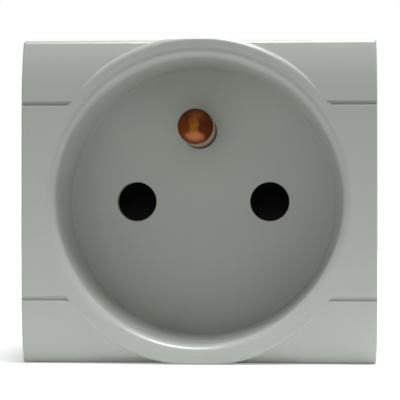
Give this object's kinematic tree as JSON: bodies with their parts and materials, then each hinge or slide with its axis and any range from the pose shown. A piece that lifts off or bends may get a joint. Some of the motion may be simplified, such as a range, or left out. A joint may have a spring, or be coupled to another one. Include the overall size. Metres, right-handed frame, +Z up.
{
  "type": "french wall socket module",
  "caption": "Grey French-type socket module: round well with earth pin, shuttered pin holes, and a snap-in body with screw terminals.",
  "frame": {"origin": "on the axis of the well, in the plane of the shoulder that rests on the support frame", "axes": "+X to the right seen from the front, +Y into the wall, +Z up; the face looks along -Y and the earth pin is at the top"},
  "size_m": [0.047, 0.0385, 0.043],
  "materials": {
    "cover_plastic": "satin moulded light grey",
    "shutter_plastic": "moulded black",
    "inner_plastic": "moulded natural",
    "housing_plastic": "fine-textured dark grey",
    "pin_brass": "polished, tarnished to copper brown",
    "contact_brass": "stamped strip",
    "spring_steel": "drawn wire and strip",
    "plated_steel": "zinc plated"
  },
  "bodies": {
    "housing": {"front_cover": "cover_plastic", "shutter_spring": "spring_steel", "shutter_retainer": "inner_plastic", "earth_pin": "pin_brass", "earth_bar": "contact_brass", "live_contact": "contact_brass", "neutral_contact": "contact_brass", "live_contact_clip": "spring_steel", "neutral_contact_clip": "spring_steel", "live_terminal": "contact_brass", "neutral_terminal": "contact_brass", "earth_terminal": "contact_brass", "live_terminal_screw": "plated_steel", "neutral_terminal_screw": "plated_steel", "earth_terminal_screw": "plated_steel", "rear_housing": "housing_plastic", "housing_screw_upper_left": "plated_steel", "housing_screw_upper_right": "plated_steel", "housing_screw_lower_left": "plated_steel", "housing_screw_lower_right": "plated_steel"},
    "shutter": {"shutter_slide": "shutter_plastic"}
  },
  "joints": [
    {"name": "shutter_travel", "type": "slide", "parent": "housing", "child": "shutter", "axis": [0, 0, -1], "range_m": [0, 0.0056], "stiffness_N_per_m": 80, "springref_m": -0.004, "deforming": ["shutter_spring"]}
  ]
}
